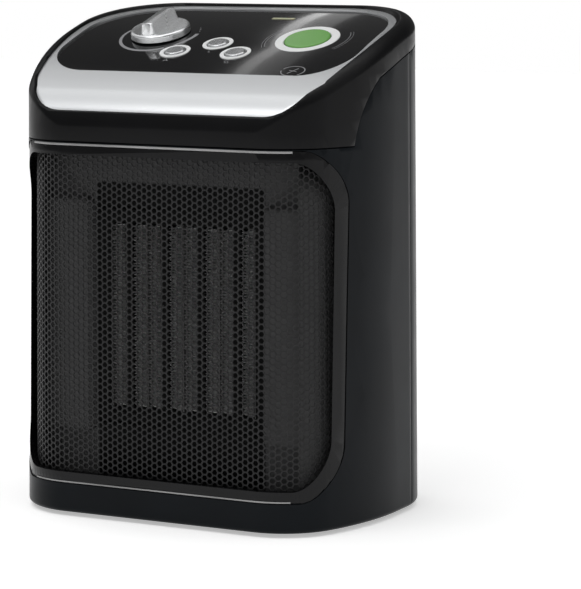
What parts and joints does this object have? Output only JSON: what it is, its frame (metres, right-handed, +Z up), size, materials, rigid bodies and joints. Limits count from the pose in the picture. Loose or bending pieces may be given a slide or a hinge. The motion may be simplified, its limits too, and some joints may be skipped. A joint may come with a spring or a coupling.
{
  "type": "ceramic fan heater",
  "caption": "Free-standing ceramic fan heater: tapered casing, wrap-round perforated front, sloping deck with thermostat knob, mode buttons and a large green button, silver trim.",
  "frame": {"origin": "on the floor under the middle of the casing's footprint", "axes": "+X to the right seen from the front, +Y to the back, +Z up; the grille faces -Y"},
  "size_m": [0.201, 0.141, 0.261],
  "materials": {
    "casing_black": "satin black moulded plastic",
    "base_black": "matt",
    "rubber": "matt",
    "bezel_black": "satin",
    "grille_black": "satin black powder coat",
    "satin_silver": "satin silver lacquer",
    "panel_gloss": "high gloss",
    "ring_white": "gloss",
    "button_silver": "satin chrome",
    "eco_green": "gloss",
    "lamp_lens": "translucent",
    "knob_silver": "satin chrome",
    "steel": "zinc plated",
    "board_green": "solder mask",
    "duct_black": "matt",
    "ceramic": "fired ceramic",
    "fin_alu": "mill",
    "brass": "plain",
    "impeller_grey": "satin",
    "lamination": "stacked",
    "copper": "enamelled wire",
    "terminal_cream": "matt"
  },
  "bodies": {
    "root": {"top_cover": "casing_black", "front_housing": "casing_black", "rear_housing": "casing_black", "base_plate": "base_black", "rubber_feet": "rubber", "front_bezel": "bezel_black", "grille_mesh": "grille_black", "trim_band": "satin_silver", "control_panel": "panel_gloss", "button_rings": "ring_white", "eco_ring": "ring_white", "pilot_lamp": "lamp_lens", "thermostat_body": "base_black", "control_board": "board_green", "tact_switches": "base_black", "board_screws": "steel", "air_duct": "duct_black", "heater_frame": "duct_black", "ptc_bars": "ceramic", "fin_dividers": "fin_alu", "heater_fins": "fin_alu", "heater_terminals": "brass", "thermal_cutout": "steel", "fan_shroud": "duct_black", "motor_stator": "lamination", "motor_coil": "copper", "motor_front_bracket": "steel", "motor_rear_bracket": "steel", "shaft_bearings": "brass", "inlet_grille": "bezel_black", "carry_grip": "bezel_black", "cord_gland": "rubber", "housing_screws": "steel", "base_screws": "steel", "tip_switch_body": "base_black", "terminal_block": "terminal_cream"},
    "knob": {"thermostat_knob": "knob_silver", "thermostat_shaft": "steel"},
    "button_left": {"mode_button_left": "button_silver"},
    "button_rear": {"mode_button_rear": "button_silver"},
    "button_right": {"mode_button_right": "button_silver"},
    "eco": {"eco_button": "eco_green"},
    "fan": {"fan_impeller": "impeller_grey", "motor_shaft": "steel", "motor_rotor": "steel"},
    "tip_pendulum": {"tip_switch_pendulum": "brass"}
  },
  "joints": [
    {"name": "knob_turn", "type": "hinge", "parent": "root", "child": "knob", "pos_m": [-0.039, 0.0076, 0.24603], "axis": [0, -0.3066, 0.9518], "range_deg": [-135, 135]},
    {"name": "button_left_press", "type": "slide", "parent": "root", "child": "button_left", "axis": [0, 0.3389, -0.9408], "range_m": [0, 0.001], "stiffness_N_per_m": 600, "springref_m": -0.0015},
    {"name": "button_rear_press", "type": "slide", "parent": "root", "child": "button_rear", "axis": [0, 0.3389, -0.9408], "range_m": [0, 0.001], "stiffness_N_per_m": 600, "springref_m": -0.0015},
    {"name": "button_right_press", "type": "slide", "parent": "root", "child": "button_right", "axis": [0, 0.3389, -0.9408], "range_m": [0, 0.001], "stiffness_N_per_m": 600, "springref_m": -0.0015},
    {"name": "eco_press", "type": "slide", "parent": "root", "child": "eco", "axis": [0, 0.3389, -0.9408], "range_m": [0, 0.001], "stiffness_N_per_m": 800, "springref_m": -0.0015},
    {"name": "fan_spin", "type": "hinge", "parent": "root", "child": "fan", "pos_m": [0, 0, 0.1025], "axis": [0, 1, 0], "continuous": true},
    {"name": "tip_swing", "type": "hinge", "parent": "root", "child": "tip_pendulum", "pos_m": [-0.072, 0.03, 0.027], "axis": [1, 0, 0], "range_deg": [-25, 25]}
  ]
}
